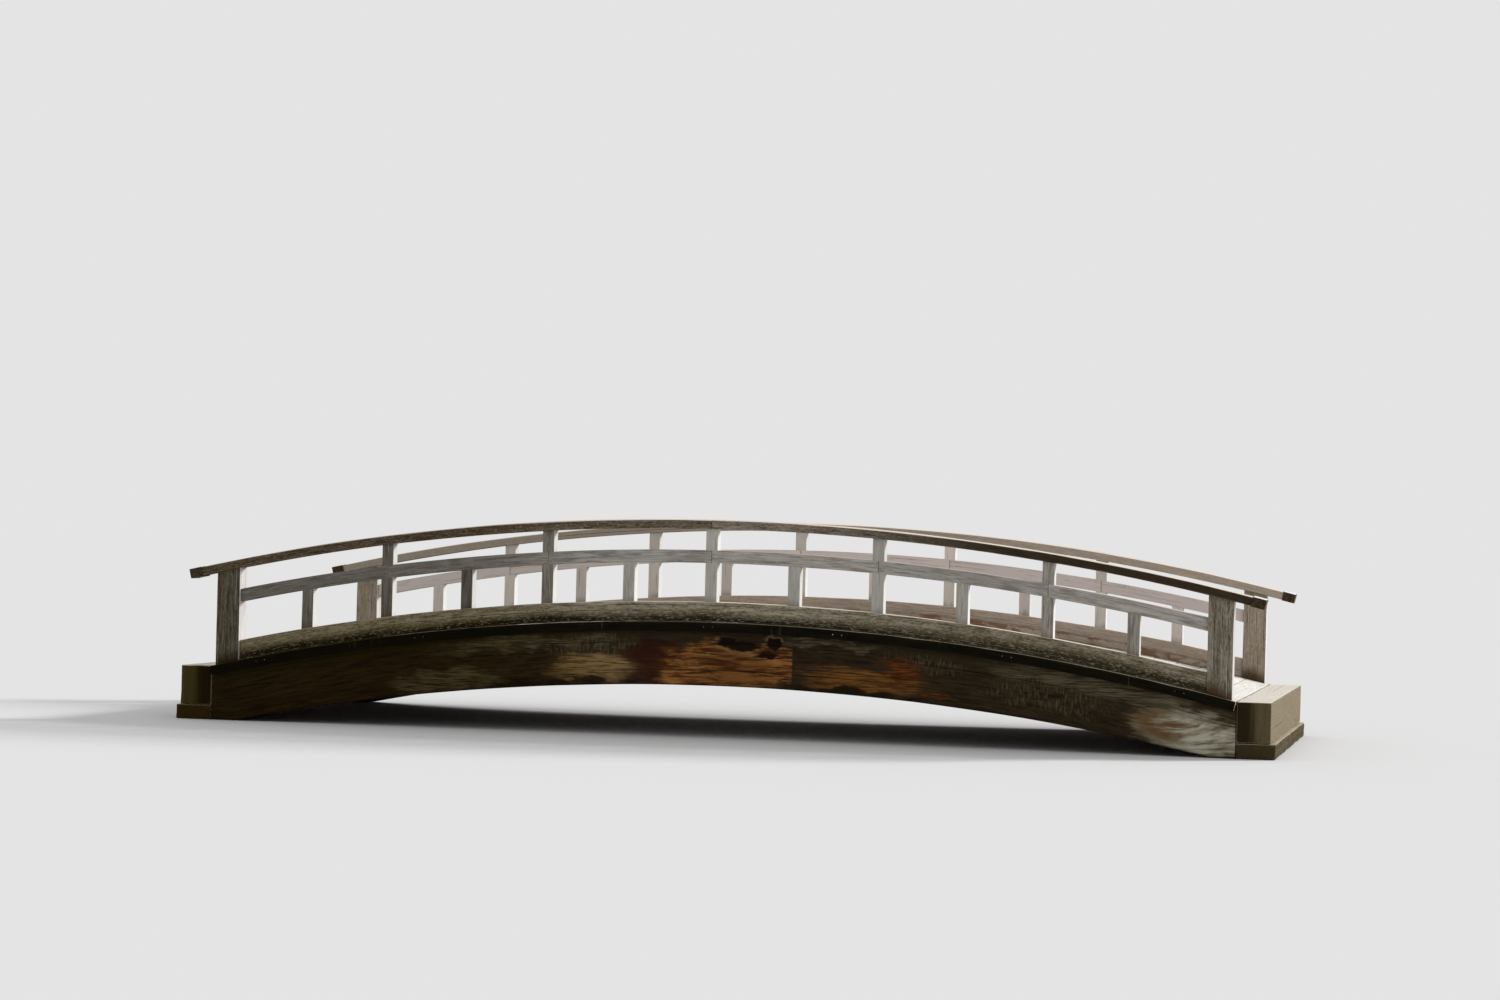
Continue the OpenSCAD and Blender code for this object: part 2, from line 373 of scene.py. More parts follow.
def new_object(name, data):
    made = bpy.data.objects.new(name, data)
    bpy.context.scene.collection.objects.link(made)
    return made


def add_vectors(mesh, key, values):
    mesh.attributes.new(key, "FLOAT_VECTOR", "POINT").data.foreach_set("vector", values.ravel())


def piece(name, parts, nodes, finish, side=0):
    """One object made of timbers, in place of CAD nodes. side is the sign of y on its side."""
    points, faces, first = [], [], 0
    for part in parts:
        faces += [[first + corner for corner in face] for face in part["faces"]]
        points.append(part["points"])
        first += len(part["points"])
    mesh = bpy.data.meshes.new(name)
    mesh.from_pydata(np.concatenate(points).tolist(), [], faces)
    for key in VECTORS:
        if key in parts[0]:
            add_vectors(mesh, key, np.concatenate([part[key] for part in parts]))
    normals = np.empty(first * 3)
    mesh.vertex_normals.foreach_get("vector", normals)
    add_vectors(mesh, "facing", normals.reshape(-1, 3)[:, (1, 2, 0)] * (-side, 1, 1))
    mesh.shade_smooth()
    mesh.set_sharp_from_angle(angle=SHARP_ANGLE)
    mesh.materials.append(finish)
    made = new_object(name, mesh)
    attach(made, "root")
    if nodes:
        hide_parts(*nodes)


def dress(node, parts, finish, side=0):
    """The piece that stands for one CAD node."""
    piece(f"{node}_timber", parts, [node], finish, side)


# Ways of placing a timber's points in the frame

def under_arches(low_z, high_z, height, y):
    """Along x, with upright ends, from the curve low_z(x) up to high_z(x)."""
    def place(u, v, w):
        low, high = low_z(u), high_z(u)
        return np.column_stack((u, y + v, low + w / height * (high - low)))
    return place


def between_radii(low_r, high_r, y):
    """Along x, with upright ends, from one arch to another."""
    return under_arches(lambda x: arc_z(low_r, x), lambda x: arc_z(high_r, x), high_r - low_r, y)


def round_arch(low_r, y):
    """Along the arch, with ends square to it. u is measured at its lower edge."""
    def place(u, v, w):
        angle = u / low_r
        return np.column_stack(((low_r + w) * np.sin(angle), y + v, CENTRE_Z + (low_r + w) * np.cos(angle)))
    return place


def upright(x, y, low_r, high_r):
    """Up from one arch to another. v runs along the bridge and w across it."""
    def place(u, v, w):
        low, high = arc_z(low_r, x + v), arc_z(high_r, x + v)
        return np.column_stack((x + v, y + w, low + u / (high_r - low_r) * (high - low)))
    return place


def crosswise(angle, low_r):
    """Across the bridge, square to the arch at that angle. w is measured from the radius low_r."""
    def place(u, v, w):
        x = (low_r + w) * sin(angle) - v * cos(angle)
        return np.column_stack((x, u, CENTRE_Z + (low_r + w) * cos(angle) + v * sin(angle)))
    return place


def level_crosswise(x, low_z):
    """Across the bridge, level."""
    return lambda u, v, w: np.column_stack((x - v, u, low_z + w))


# Light: an even sky and one key lamp, low on the right and a little from behind

SKY_LEVEL = 0.58
KEY_FROM = Vector((0.74, 0.58, 0.34)).normalized()
KEY_IRRADIANCE = 3.6
KEY_SPREAD = radians(12)
FLOOR_COLOUR = 0.8    # linear
FLOOR_LEVEL = SKY_LEVEL + KEY_IRRADIANCE * KEY_FROM.z / pi
SHADE_LEVEL = (SKY_LEVEL + FLOOR_COLOUR * FLOOR_LEVEL) / 2    # on an upright face out of the key
SIDE_LEVEL = SHADE_LEVEL + KEY_IRRADIANCE * KEY_FROM.x / pi
LARGEST_ALBEDO = 0.9


def lit(level, *shown):
    """The colour of a surface that shows as these 0 to 255 values in light of that level."""
    values = np.array(shown) / 255
    values = np.where(values <= 0.04045, values / 12.92, ((values + 0.055) / 1.055) ** 2.4)
    return (*np.minimum(values / level, LARGEST_ALBEDO), 1)


shaded, side_lit, top_lit = (partial(lit, level) for level in (SHADE_LEVEL, SIDE_LEVEL, FLOOR_LEVEL))


# Finishes

class Graph:
    """The nodes of a material or of the sky."""

    def __init__(self, tree):
        self.nodes, self.links = tree.nodes, tree.links

    def add(self, kind, inputs, output=0, **settings):
        """Makes a node and returns one of its outputs. An input is a value or another node's output."""
        node = self.nodes.new(kind)
        for setting, value in settings.items():
            setattr(node, setting, value)
        for socket, value in inputs.items():
            if isinstance(value, bpy.types.NodeSocket):
                self.links.new(value, node.inputs[socket])
            else:
                node.inputs[socket].default_value = value
        return node.outputs[output]

    def maths(self, operation, *inputs):
        return self.add("ShaderNodeMath", dict(enumerate(inputs)), operation=operation)

    def vector_maths(self, operation, *inputs, output=0):
        return self.add("ShaderNodeVectorMath", dict(enumerate(inputs)), output, operation=operation)


class Finish(Graph):
    """The nodes of one material."""

    def __init__(self, name, metallic=0, shine=0.06):
        self.material = bpy.data.materials.new(name)
        self.material.use_nodes = True
        super().__init__(self.material.node_tree)
        self.shader = self.nodes["Principled BSDF"]
        self.shader.inputs["Specular IOR Level"].default_value = shine
        self.shader.inputs["Metallic"].default_value = metallic

    def vector(self, name):
        return self.add("ShaderNodeAttribute", {}, "Vector", attribute_name=name)

    def place(self):
        """The point's own place in the frame."""
        return self.add("ShaderNodeTexCoord", {}, "Object")

    def parts(self, vector):
        return [self.add("ShaderNodeSeparateXYZ", {0: vector}, axis) for axis in range(3)]

    def noise(self, vector, scales, detail, roughness, distortion=0, output=0):
        """Noise whose scale differs along x, y and z."""
        inputs = {"Vector": self.vector_maths("MULTIPLY", vector, scales), "Scale": 1, "Detail": detail,
                  "Roughness": roughness, "Distortion": distortion}
        return self.add("ShaderNodeTexNoise", inputs, output)

    def swing(self, noise, size):
        """A noise as a number round 0, up to about half of size."""
        return self.product(self.maths("SUBTRACT", noise, 0.5), size)

    def wobbled(self, vector, place, scales, size):
        """The vector, moved at random by up to about half of size."""
        shift = self.noise(place, scales, 4, 0.5, output="Color")
        shift = self.vector_maths("SUBTRACT", shift, (0.5, 0.5, 0.5))
        return self.vector_maths("MULTIPLY_ADD", shift, size, vector)

    def distance(self, chart, spots):
        """How far a point of the chart is from the nearest spot, where 1 is its rim."""
        nearest = None
        for x, share, half_l, half_share in spots:
            off = self.vector_maths("SUBTRACT", chart, (x, share, 0))
            off = self.vector_maths("MULTIPLY", off, (1 / half_l, 1 / half_share, 0))
            off = self.vector_maths("LENGTH", off, output="Value")
            nearest = self.maths("MINIMUM", nearest, off) if nearest else off
        return nearest

    def rings(self, grain):
        """Growth rings round the grain's own axis, which is x."""
        inputs = {"Vector": self.vector_maths("MULTIPLY", grain, (0.06, 1, 1)), "Scale": 34,
                  "Distortion": 2.4, "Detail": 3, "Detail Scale": 1.2}
        return self.add("ShaderNodeTexWave", inputs, 1, wave_type="RINGS", rings_direction="X",
                        wave_profile="SAW")

    def rise(self, value, low, high, top=1, bottom=0):
        """bottom where value is at low, and top where it is at high."""
        inputs = {0: value, 1: low, 2: high, 3: bottom, 4: top}
        return self.add("ShaderNodeMapRange", inputs, interpolation_type="SMOOTHSTEP")

    def product(self, *values):
        return reduce(partial(self.maths, "MULTIPLY"), values)

    def total(self, *values):
        return reduce(partial(self.maths, "ADD"), values)

    def apart(self, value, middle=0):
        """How far value is from middle, on either side."""
        return self.maths("ABSOLUTE", self.total(value, -middle))

    def mix(self, share, first, second):
        return self.add("ShaderNodeMix", {0: share, 6: first, 7: second}, 2, data_type="RGBA")

    def done(self, colour, roughness, height, depth):
        """The material, with colour, roughness and a bump from height, which is from 0 to 1, times depth."""
        normal = self.add("ShaderNodeBump", {"Distance": depth, "Height": height})
        for name, value in (("Base Color", colour), ("Roughness", roughness), ("Normal", normal)):
            self.links.new(value, self.shader.inputs[name])
        return self.material


class Wood(Finish):
    """Weathered wood: fibres, growth rings and broad bands along the grain, with dark checks."""

    def __init__(self, name, light, dark, warm, warmth=0.5, relief=0.0016, lit_by=shaded):
        super().__init__(name)
        light, dark, warm = (lit_by(*colour) for colour in (light, dark, warm))
        self.grain = self.vector("grain")
        self.x, self.y, _ = self.parts(self.place())
        self.check, self.arris, self.cap = self.parts(self.vector("marks"))
        inward, self.upward, self.rightward = self.parts(self.vector("facing"))
        # Masks of faces by the way they face. Some finishes paint light through them: sunlight on the tops
        # and on the faces to the right, and light bounced off the deck on the inner faces.
        self.inside, self.outside = self.rise(inward, 0.4, 0.9), self.rise(inward, -0.4, -0.9)
        self.on_top = self.rise(self.upward, 0.4, 0.9)
        self.on_right = self.rise(self.rightward, 0.3, 0.7)
        self.from_start, self.from_end, _ = self.parts(self.vector("ends"))
        self.share_up, self.tone, self.damp_shade = self.parts(self.vector("look"))
        self.relief = relief
        self.fibres = self.noise(self.grain, (14, 290, 290), 4, 0.7)
        flecks = self.noise(self.grain, (26, 120, 120), 4, 0.72)
        self.streaks = self.noise(self.grain, (5.5, 60, 60), 6, 0.66, 0.25)
        self.bands = self.noise(self.grain, (1.1, 13, 13), 5, 0.6, 0.4)
        self.ringed = self.rings(self.grain)
        self.colour = self.mix(self.rise(self.streaks, 0.34, 0.6), dark, light)
        self.layer(warm, self.rise(self.bands, 0.42, 0.66, warmth))
        self.layer(dark, self.rise(flecks, 0.5, 0.72, 0.55))
        self.layer(dark, self.rise(self.ringed, 0.55, 1), 0.3)

    def layer(self, colour, *shares):
        """Paints colour over what is there, as strong as the product of the shares says."""
        self.colour = self.mix(self.product(*shares), self.colour, colour)

    def stain(self, shown, mask, field, low, high, strength=1, lit_by=shaded):
        """Within a mask, paints a colour that comes in as field goes from low to high."""
        self.layer(lit_by(*shown), mask, self.rise(field, low, high, strength))

    def pitted(self, strength, light, dark):
        """Adds fine pits, and fibres between them that weathered pale."""
        pits = self.noise(self.grain, (34, 130, 130), 3, 0.6)
        self.layer(shaded(*dark), self.rise(pits, 0.51, 0.64, strength))
        self.layer(shaded(*light), self.rise(pits, 0.47, 0.35, strength))

    def ragged(self, field, low, high, top=1, fray=0.5):
        """A mask from a field, whose edge follows the grain."""
        frayed = self.total(field, self.swing(self.streaks, fray), self.swing(self.bands, fray))
        return self.rise(frayed, low, high, top)

    def finished(self, unlike=0.12, rubbed=(140, 134, 122), damp_shade_strength=0.35):
        """The material. unlike spreads tones, rubbed shows on worn arrises, and damp_shade_strength sets how
        much darker the near left end is painted, as shade with a tone of wet wood.
        """
        # Checks painted near black: dirt in them, with painted shade inside.
        self.layer(shaded(18, 14, 9), self.rise(self.check, 0.02, 0.35, 0.9))
        self.stain(rubbed, self.arris, self.streaks, 0.4, 0.7, 0.3)
        # Painted shade at the near left end, with the warmer, more saturated tone of wet wood. It is kept off
        # the faces to the right, which are painted sunlit.
        damp_shade = self.product(self.damp_shade, self.rise(self.rightward, 0.7, 0.3))
        value = self.total(self.product(self.tone, unlike), self.product(damp_shade, -damp_shade_strength), 1)
        saturation = self.total(self.product(damp_shade, 0.3), 1)
        inputs = {"Value": value, "Saturation": saturation, "Color": self.colour}
        colour = self.add("ShaderNodeHueSaturation", inputs)
        fields = ((self.fibres, 0.4), (self.streaks, 0.7), (self.ringed, -0.3))
        height = self.total(*(self.product(field, share) for field, share in fields))
        return self.done(colour, self.rise(self.streaks, 0.2, 0.8, 0.92, 0.76), height, self.relief)


RAILING_DAMP_SHADE = 0.52
POSTS_PALEST_X = 0.6    # round here the posts are palest


def rail_finish():
    wood = Wood("rail_timber", (155, 151, 145), (108, 103, 98), (128, 120, 109), 0.4, 0.0008)
    # Inner faces painted lighter, as light bounced off the deck, with streaks in it.
    wood.layer(shaded(188, 178, 173), wood.inside, 0.85)
    wood.stain((146, 135, 128), wood.inside, wood.streaks, 0.5, 0.65, 0.5)
    # Painted sunlight on the tops.
    wood.layer(top_lit(230, 220, 208), wood.on_top, 0.85)
    return wood.finished(damp_shade_strength=RAILING_DAMP_SHADE)


def post_finish():
    wood = Wood("post_timber", (142, 138, 130), (93, 88, 81), (113, 105, 93), relief=0.0012)
    wood.layer(shaded(182, 180, 174), wood.rise(wood.apart(wood.x, POSTS_PALEST_X), 1.9, 0.9, 0.45))
    # Inner faces painted lighter, as light bounced off the deck.
    wood.layer(shaded(186, 178, 170), wood.inside, 0.65)
    wood.layer(shaded(88, 72, 52), wood.ragged(wood.rise(wood.from_start, 0.14, -0.06), 0.3, 1, 0.6, 0.9))
    # Painted sunlight on the faces to the right.
    wood.layer(side_lit(252, 251, 246), wood.on_right, 0.9)
    return wood.finished(damp_shade_strength=RAILING_DAMP_SHADE)


def end_post_finish():
    wood = Wood("end_post_timber", (132, 126, 112), (70, 63, 50), (104, 93, 76), 0.5, 0.0018)
    # Inner faces painted lighter, as light bounced off the deck.
    wood.layer(shaded(142, 129, 114), wood.inside, 0.5)
    lines = wood.noise(wood.grain, (3, 110, 110), 4, 0.65)
    wood.layer(shaded(50, 43, 31), wood.rise(lines, 0.53, 0.63, 0.7))
    wood.pitted(0.35, (146, 140, 128), (52, 45, 34))
    wood.layer(shaded(56, 39, 24), wood.ragged(wood.rise(wood.from_start, 0.22, -0.04), 0.25, 0.95, 0.9, 0.8))
    wood.layer(shaded(66, 56, 40), wood.ragged(wood.rise(wood.from_end, 0.1, -0.03), 0.3, 1, 0.6, 0.8))
    # Painted sunlight on the faces to the right.
    wood.layer(side_lit(250, 245, 242), wood.on_right, 0.9)
    return wood.finished(damp_shade_strength=0.6)


def curb_finish():
    wood = Wood("curb_timber", (146, 139, 121), (76, 69, 53), (104, 94, 74), 0.6)
    sag = wood.noise(wood.grain, (1.3, 4, 4), 3, 0.5)
    low = wood.total(wood.rise(wood.share_up, 1, 0), wood.swing(sag, 0.9))
    wood.layer(shaded(58, 50, 32), wood.outside, wood.ragged(low, 0.3, 0.72, 0.8, 0.5))
    wood.layer(shaded(19, 16, 4), wood.outside, wood.ragged(low, 0.7, 0.88, 1, 0.35))
    wood.stain((62, 54, 38), wood.outside, wood.x, 0.2, 2.2, 0.35)
    wood.pitted(0.5, (142, 134, 116), (46, 40, 28))
    # Inner faces painted lighter, as light bounced off the deck.
    wood.layer(shaded(154, 139, 129), wood.inside, 0.55)
    blotches = wood.noise(wood.grain, (7, 16, 16), 4, 0.6)
    wood.stain((100, 66, 42), wood.product(wood.inside, wood.rise(low, 0.4, 0.75)), blotches, 0.44, 0.58, 0.8)
    # Painted sunlight on the top.
    wood.layer(top_lit(232, 220, 206), wood.on_top, 0.85)
    return wood.finished(damp_shade_strength=0.3)


def edge_finish():
    # Near black: old wet wood, darkened further with painted shade.
    wood = Wood("edge_timber", (20, 16, 7), (5, 4, 1), (14, 11, 4), 0.6)
    drips = wood.noise(wood.place(), (90, 10, 6), 3, 0.6)
    washed = wood.noise(wood.place(), (1.6, 1, 1), 3, 0.5)
    wood.stain((74, 66, 44), wood.rise(drips, 0.58, 0.7), washed, 0.55, 0.65, 0.6)
    moss = wood.noise(wood.grain, (5, 30, 30), 5, 0.6)
    wood.stain((44, 42, 16), wood.rise(wood.share_up, 0.6, 1), moss, 0.46, 0.62, 0.25)
    # Painted highlight on the top lip, olive with moss along it and paler towards the right end.
    lit_lip = wood.product(wood.rise(wood.upward, 0.15, 0.7), wood.rise(wood.share_up, 0.9, 0.96))
    wood.layer(top_lit(84, 78, 32), lit_lip, 0.95)
    wood.layer(top_lit(196, 182, 156), lit_lip, wood.rise(wood.x, -0.3, 1, 0.85, 0.08))
    # Painted sunlight on the end grain that faces right.
    wood.layer(side_lit(236, 228, 214), wood.cap, wood.on_right)
    return wood.finished(rubbed=(30, 25, 14))


def deck_finish():
    wood = Wood("deck_timber", (255, 253, 250), (216, 208, 196), (240, 230, 216), 0.4, 0.0014, top_lit)
    across = wood.apart(wood.y)
    wood.stain((170, 152, 126), wood.rise(across, 1.3, 1.65), wood.bands, 0.35, 0.65, 0.5, lit_by=top_lit)
    curb_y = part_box("curb_far")[1].y
    wood.layer(top_lit(74, 68, 44), wood.rise(across, curb_y - 0.01, curb_y + 0.005, 0.95))
    # Painted shade on the undersides of the planks.
    wood.layer(shaded(92, 80, 62), wood.rise(wood.upward, 0.2, -0.4))
    return wood.finished(0.16)


def sill_finish():
    wood = Wood("sill_timber", (112, 103, 82), (52, 44, 28), (84, 72, 50))
    # Painted sunlight on the top, with paler streaks in it, and on the faces to the right.
    wood.layer(top_lit(232, 224, 212), wood.on_top, 0.85)
    wood.stain((186, 172, 154), wood.on_top, wood.streaks, 0.5, 0.7, 0.5, lit_by=top_lit)
    wood.layer(side_lit(146, 132, 108), wood.on_right, 0.75)
    low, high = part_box("end_sill_right")
    # The end grain darkens towards the bridge: painted shade of the deck's edge, with wet wood where the edge
    # drips.
    dry_lit_x, wet_shaded_x = (low.x + share * (high.x - low.x) for share in (0.68, 0.3))
    drips = wood.noise(wood.place(), (40, 40, 1.6), 4, 0.55)
    wet_and_shaded = wood.rise(wood.total(wood.apart(wood.x), wood.swing(drips, 0.12)), dry_lit_x, wet_shaded_x)
    wood.layer(shaded(74, 66, 45), wood.cap, 0.9)
    wood.stain((48, 39, 22), wood.cap, drips, 0.42, 0.62, 0.35)
    wood.layer(shaded(28, 21, 9), wood.cap, wet_and_shaded, 0.95)
    return wood.finished()


def footing_finish():
    wood = Wood("footing_timber", (72, 61, 41), (26, 20, 9), (52, 41, 24), 0.6, 0.002)
    # Painted sunlight on the top.
    wood.layer(top_lit(200, 186, 158), wood.on_top, 0.7)
    wood.layer(shaded(50, 41, 24), wood.cap, 0.8)
    return wood.finished()


def handrail_finish(end, light, dark, warm):
    wood = Wood(f"handrail_{end}", light, dark, warm)
    wood.pitted(0.5, (138, 130, 116), (44, 36, 25))
    # The outer face painted darker towards the right end: painted shade.
    wood.stain((36, 27, 14), wood.outside, wood.x, 0.3, 2.4, 0.93)
    # Inner faces painted lighter, as light bounced off the deck.
    wood.layer(shaded(148, 138, 126), wood.inside, 0.6)
    # Painted sunlight on the top, with paler streaks in it.
    wood.layer(top_lit(236, 224, 208), wood.on_top, 0.85)
    wood.stain((176, 160, 140), wood.on_top, wood.streaks, 0.48, 0.66, 0.5, lit_by=top_lit)
    return wood.finished()


def cap_finish():
    """Old sheet metal, mottled, with painted light: bright on top as if sunlit, and dark on its sides as
    painted shade.
    """
    metal = Finish("handrail_cap")
    dull = metal.noise(metal.place(), (30, 30, 60), 5, 0.6)
    mottled = metal.rise(dull, 0.4, 0.62)
    shaded_sides = metal.mix(mottled, shaded(38, 31, 18), shaded(62, 50, 36))
    top = metal.mix(mottled, top_lit(240, 234, 236), top_lit(252, 249, 250))
    upward = metal.parts(metal.vector("facing"))[1]
    colour = metal.mix(metal.rise(upward, 0.4, 0.8), shaded_sides, top)
    return metal.done(colour, metal.rise(dull, 0.35, 0.65, 0.6, 0.4), dull, 0.0004)


# Spots on a girder's outer face, each (x, share of the height, half length, half share)
DUSTY = ((-1.5, 0.8, 0.66, 0.12), (3.05, 0.82, 0.8, 0.17), (0.95, 0.87, 0.3, 0.08), (-2.15, 0.22, 0.42, 0.2))
DRIPPED = ((-0.92, 0.7, 0.32, 0.24), (2.68, 0.46, 0.42, 0.26), (1.7, 0.7, 0.3, 0.16))
TAN = ((-0.88, 0.32, 0.32, 0.25),)
MAROON = ((-0.5, 0.44, 0.19, 0.38), (-0.34, 0.64, 0.16, 0.14))
BARE = ((0.12, 0.36, 0.56, 0.42), (0.5, 0.46, 0.3, 0.29))
DARKER_BARE = ((0.22, 0.42, 0.26, 0.5),)
SOAKED = ((-1.2, 0, 0.68, 0.12), (1.08, 0, 0.42, 0.13))
BAND = ((1.24, 0.29, 0.46, 0.2),)
WEDGE = ((1.55, 0.55, 0.15, 0.2), (1.78, 0.2, 0.1, 0.05))
PALE = ((3.76, 0.34, 0.4, 0.42),)
PALEST = ((3.82, 0.32, 0.26, 0.34),)
SWIRL = ((3.54, 0.37, 0.2, 0.22),)
KNOTS = ((0.14, 0.79, 0.07, 0.09), (0.27, 0.73, 0.13, 0.09), (0.52, 0.8, 0.06, 0.1), (0.46, 0.58, 0.09, 0.05))
BARE_END_X, BARE_END_SOFT = 0.65, 0.02    # the bare wood ends there, broken off across the grain


def girder_finish():
    wood = Wood("girder_timber", (47, 38, 24), (21, 14, 7), (34, 25, 13), 0.6, 0.002)
    inner = wood.colour
    place = wood.place()
    chart = wood.add("ShaderNodeCombineXYZ", {0: wood.x, 1: wood.share_up})
    rough_chart = wood.wobbled(chart, place, (5, 1, 12), (0.5, 0.55, 0))
    near_chart = wood.wobbled(chart, place, (14, 1, 26), (0.1, 0.16, 0))
    fray = wood.swing(wood.streaks, 1.2)

    def covered(spots, soft):
        """A mask of the spots, with frayed rims."""
        return wood.rise(wood.total(wood.distance(rough_chart, spots), fray), 1 + soft, 1 - soft)

    fine = wood.noise(place, (5, 1, 75), 5, 0.7)
    cloud = wood.noise(place, (2.6, 1, 20), 5, 0.62, 0.4)
    # The top of the face, under the deck's edge, painted darker: painted shade, with some wetness.
    wood.stain((42, 36, 22), wood.rise(wood.share_up, 0.78, 0.9), wood.bands, 0.3, 0.6, 0.7)
    wood.stain((82, 75, 57), covered(DUSTY, 0.4), fine, 0.36, 0.6, 0.85)
    drips = wood.noise(place, (60, 10, 15), 4, 0.6)
    wood.stain((84, 74, 54), covered(DRIPPED, 0.5), drips, 0.46, 0.64, 0.5)
    wood.stain((120, 96, 62), covered(TAN, 0.45), fine, 0.34, 0.58, 0.9)
    warm_spots = ((BAND, (64, 40, 17), (104, 70, 32), 0.42), (WEDGE, (50, 25, 9), (104, 55, 20), 0.46))
    for spots, ground, streak, low in warm_spots:
        mask = covered(spots, 0.35)
        wood.layer(shaded(*ground), mask, 0.9)
        wood.stain(streak, mask, fine, low, 0.6, 0.85)

    bare = wood.product(covered(BARE, 0.22), wood.rise(wood.x, BARE_END_X + BARE_END_SOFT, BARE_END_X))
    wood.layer(shaded(70, 40, 16), bare, 0.95)
    wood.stain((128, 86, 43), bare, cloud, 0.45, 0.58, 0.85)
    wood.stain((138, 98, 54), bare, fine, 0.5, 0.62, 0.7)
    wood.stain((40, 18, 8), bare, cloud, 0.44, 0.34, 0.85)
    wood.layer(shaded(30, 12, 3), covered(DARKER_BARE, 0.6), 0.42)
    wood.layer(shaded(40, 17, 9), covered(MAROON, 0.35), 0.85)
    wood.layer(shaded(20, 13, 6), covered(SOAKED, 0.3), 0.85)
    knots = wood.distance(near_chart, KNOTS)
    rim = wood.product(wood.rise(knots, 1.7, 1.35), wood.rise(knots, 1, 1.25))
    wood.layer(shaded(124, 98, 62), rim, wood.rise(cloud, 0.42, 0.55, 0.6), 0.7)
    wood.layer(shaded(13, 8, 6), wood.rise(knots, 1.15, 0.85, 0.95))

    pale = covered(PALE, 0.3)
    swirl = wood.distance(near_chart, SWIRL)
    lift = wood.add("ShaderNodeCombineXYZ", {2: wood.product(wood.rise(swirl, 3.2, 0.4), 0.09)})
    arcs = wood.noise(wood.vector_maths("ADD", place, lift), (3.4, 1, 26), 5, 0.62, 0.3)
    wood.layer(shaded(104, 98, 80), pale)
    wood.stain((156, 152, 137), covered(PALEST, 0.5), arcs, 0.66, 0.42, 0.95)
    wood.stain((86, 76, 54), pale, arcs, 0.5, 0.68, 0.7)
    wood.stain((82, 58, 32), wood.rise(swirl, 1.6, 0.5), arcs, 0.3, 0.52, 0.9)
    wood.layer(shaded(16, 11, 6), wood.rise(wood.share_up, 0.035, 0.015, 0.7))
    wood.colour = wood.mix(wood.outside, inner, wood.colour)
    return wood.finished(rubbed=(46, 38, 24))


def frame_finish(name, scales):
    """Rough timber, with its grain along the smallest of the scales."""
    finish = Finish(name)
    streaks = finish.noise(finish.place(), scales, 6, 0.65)
    broad = finish.noise(finish.place(), (2.5, 2.5, 2.5), 4, 0.55)
    colour = finish.mix(finish.rise(streaks, 0.35, 0.66), shaded(66, 54, 40), shaded(112, 98, 78))
    colour = finish.mix(finish.rise(broad, 0.45, 0.65, 0.6), colour, shaded(58, 48, 30))
    return finish.done(colour, finish.rise(streaks, 0.2, 0.8, 0.92, 0.76), streaks, 0.002)


def nail_finish():
    finish = Finish("nail_iron", metallic=0.6)
    rust = finish.noise(finish.place(), (260, 260, 260), 4, 0.6)
    colour = finish.mix(finish.rise(rust, 0.42, 0.6), shaded(150, 148, 142), shaded(90, 60, 38))
    return finish.done(colour, finish.rise(rust, 0.3, 0.7, 0.8, 0.45), rust, 0.0004)


# Pieces

POST_WEAR = Wear(along=0.03, arris=0.004, wander=0.0015)
END_POST_WEAR = Wear(along=0.02, across=0.011, arris=0.006, wander=0.003, checks=(4, 5, 4, 5), check_w=0.002,
                     check_depth=0.014)
CURB_WEAR = Wear(across=0.013, arris=0.008, wander=0.003, checks=(0, 4, 3, 4), check_w=0.0015,
                 check_depth=0.008)
MID_RAIL_WEAR = Wear(across=0.014, wander=0.0015, checks=(1, 2, 1, 2))
HANDRAIL_WEAR = Wear(across=0.013, arris=0.006, wander=0.003, checks=(1, 2, 4, 2), check_depth=0.007)
CAP_WEAR = Wear(along=0.02, across=0.01, arris=0.003, wander=0.0006, checks=(0, 0, 0, 0))
GIRDER_WEAR = Wear(across=0.016, arris=0.01, wander=0.005, checks=(2, 7, 0, 7), check_w=0.0025,
                   check_depth=0.012)
EDGE_WEAR = Wear(checks=(0, 2, 1, 2))
PLANK_WEAR = Wear(along=0.07, across=0.022, arris=0.004, checks=(0, 0, 2, 0), check_depth=0.005)
SILL_WEAR = Wear(along=0.04, across=0.014, arris=0.009, wander=0.004, checks=(0, 2, 3, 2), check_w=0.002,
                 check_depth=0.01)
FOOTING_WEAR = Wear(along=0.05, across=0.016, arris=0.01, wander=0.004, checks=(0, 1, 1, 1), check_w=0.002,
                    check_depth=0.01)


def posts():
    """(node, x, sign of its side) of each post between two end posts."""
    for side, sign in SIDES.items():
        for number in range(1, 2 * OUTER_BAY):
            yield f"tall_post_{side}_{number}", 2 * (number - OUTER_BAY) * half_bay, sign
        for number in range(1, 2 * OUTER_BAY + 1):
            yield f"short_post_{side}_{number}", (2 * (number - OUTER_BAY) - 1) * half_bay, sign


def both_sides(kind):
    """(node, sign of its side, low corner, high corner) of each of a kind with one node a side."""
    for side, sign in SIDES.items():
        node = f"{kind}_{side}"
        yield node, sign, *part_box(node)


def sides_and_ends(kind):
    """(node, sign of its side, end) of each of a kind with one node at each end of a side."""
    for side, sign in SIDES.items():
        for end in ENDS:
            yield f"{kind}_{side}_{end}", sign, end


def make_posts(finish):
    for node, x, sign in posts():
        low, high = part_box(node)
        stretches = [(curb_r, mid_low_r)]
        if node.startswith("tall"):
            stretches.append((mid_top_r, handrail_r))
        parts = [
            timber(f"{node} {number}", -SUNK, high_r - low_r + SUNK, high.x - low.x, high.y - low.y,
                   upright(x, low.y, low_r, high_r), POST_WEAR)
            for number, (low_r, high_r) in enumerate(stretches)
        ]
        for part in parts[1:]:
            part["ends"][:, 0] += mid_top_r - curb_r
        dress(node, parts, finish, sign)


